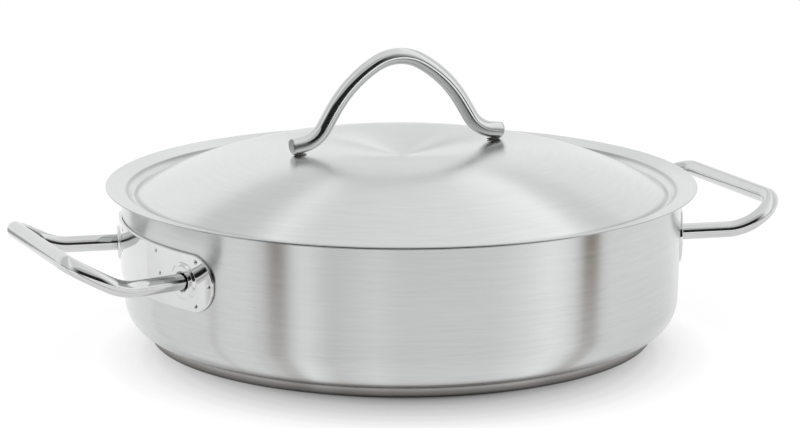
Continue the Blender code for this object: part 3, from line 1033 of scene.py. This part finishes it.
# Lid grip: the same polished bar, bent to an arch whose two feet droop a little on to the
# dome's crest and are welded there. It stands a little off the lid's middle. Its two sawn
# ends are left duller than the bar.
grip_offset = -0.0023
crown_radius = 0.0288
crown_deg = 29.3
lid_leg_deg = 58.8
lid_leg_straight = 0.0103
foot_bend_radius = 0.0187
foot_length = 0.0066
foot_droop_deg = 8.0
foot_overrun = 0.0039
foot_reach = crest_radius + foot_overrun
lid_crest = max(height for radius, height in lid_upper)
sawn_tone = 0.42
end_mask_reach = 0.100
end_stops = [
    (0.0, 1.0), (foot_reach - 0.0004, 1.0), (foot_reach - 0.0002, sawn_tone),
    (foot_reach + 0.002, sawn_tone), (foot_reach + 0.010, 1.0),
]


def arch_bend(start, radius, first, last, steps):
    """Points of one bend of the arch, as (reach, fall)."""
    reach, fall = start
    points = []
    for step in range(1, steps + 1):
        slope = first + (last - first) * step / steps
        outward = abs(math.sin(slope) - math.sin(first))
        downward = abs(math.cos(slope) - math.cos(first))
        points.append((reach + radius * outward, fall + radius * downward))
    return points


def lid_grip_path():
    """Middle line of the lid's grip, from one foot over the crown to the other."""
    crown_steps = 12
    shoulder_steps = 18
    leg_steps = 4
    foot_steps = 20
    crown_end = math.radians(crown_deg)
    leg_slope = math.radians(lid_leg_deg)
    droop = math.radians(foot_droop_deg)
    shoulder_reach = foot_reach - foot_length * math.cos(droop)
    shoulder_reach -= crown_radius * math.sin(crown_end)
    shoulder_reach -= lid_leg_straight * math.cos(leg_slope)
    shoulder_reach -= foot_bend_radius * (math.sin(leg_slope) - math.sin(droop))
    shoulder_radius = shoulder_reach / (math.sin(leg_slope) - math.sin(crown_end))
    arch = [(0.0, 0.0)]
    arch += arch_bend(arch[-1], crown_radius, 0.0, crown_end, crown_steps)
    arch += arch_bend(arch[-1], shoulder_radius, crown_end, leg_slope, shoulder_steps)
    reach, fall = arch[-1]
    for step in range(1, leg_steps + 1):
        length = lid_leg_straight * step / leg_steps
        arch.append((reach + length * math.cos(leg_slope), fall + length * math.sin(leg_slope)))
    arch += arch_bend(arch[-1], foot_bend_radius, leg_slope, droop, foot_steps)
    whole_fall = arch[-1][1] + foot_length * math.sin(droop)
    arch.append((foot_reach, whole_fall))
    crown_height = lid_crest + plate_gap + rod_radius + whole_fall
    both_halves = [(-reach, fall) for reach, fall in reversed(arch[1:])] + arch
    return [Vector((grip_offset + reach, 0.0, crown_height - fall)) for reach, fall in both_halves]


tree = rod_finish.node_tree
shader = tree.nodes["Principled BSDF"]
off_middle = math_step(tree, "SUBTRACT", own_sides(tree)["X"], grip_offset)
end_reach = math_step(tree, "ABSOLUTE", off_middle)
multiplied(tree, shader, grey_ramp(tree, end_reach, end_stops, end_mask_reach))
lid_grip = round_bar("lid_grip", lid_grip_path(), rod_finish)
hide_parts("lid_handle_rod")
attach(lid_grip, "lid")

# Weld beads: one short rippled run of weld under each foot, left dull. Its dark colour is partly
# the weld's own and partly painted shade for the contact shadow under the foot. It fills the
# narrow gap between the bar and the lid.
bead_length = 0.0086
bead_half_width = 0.0013
bead_half_height = 0.0006
bead_inset = 0.0008
bead_seat = 0.7
bead_steps = 24
bead_sides = 20
ripple_count = 6
ripple_depth = 0.03
# Painted shade: the bead's dark colour also stands in for the contact shadow under each foot.
bead_colour_painted_shade = (0.30, 0.29, 0.28)
bead_finish, tree, shader = bare_metal("dull_weld_steel_painted_shade", bead_colour_painted_shade, roughness=0.45)
scale = noise(tree, stretched(tree), scale=700.0, detail=4.0)
tinted(tree, shader, scale, bead_colour_painted_shade, 0.7, 1.2)
roughened(tree, shader, (scale, 0.38, 0.55))
relief(tree, shader, scale, distance=0.00004, strength=0.3)


def weld_bead(name, outer_reach, side):
    """A rippled bead along X that ends at this reach, lying on the lid's crest."""
    blunt_end = 0.0004
    bm = bmesh.new()
    rings = []
    for step in range(bead_steps + 1):
        share = step / bead_steps
        swell = math.sqrt(max(1 - (2 * share - 1) ** 2, blunt_end))
        swell *= 1 + ripple_depth * math.sin(share * math.tau * ripple_count)
        reach = outer_reach - bead_length * share
        ring = []
        for turn in range(bead_sides):
            angle = math.tau * turn / bead_sides
            across = bead_half_width * swell * math.cos(angle)
            up = lid_crest + bead_half_height * (bead_seat + swell * math.sin(angle))
            ring.append(bm.verts.new((grip_offset + side * reach, across, up)))
        rings.append(ring)
    closed_tube(bm, rings)
    bead = in_scene(name, metal_mesh(bm, name, bead_finish))
    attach(bead, "lid")


for side_name, side in (("right", 1), ("left", -1)):
    weld_bead(f"lid_grip_weld_{side_name}", foot_reach - bead_inset, side)
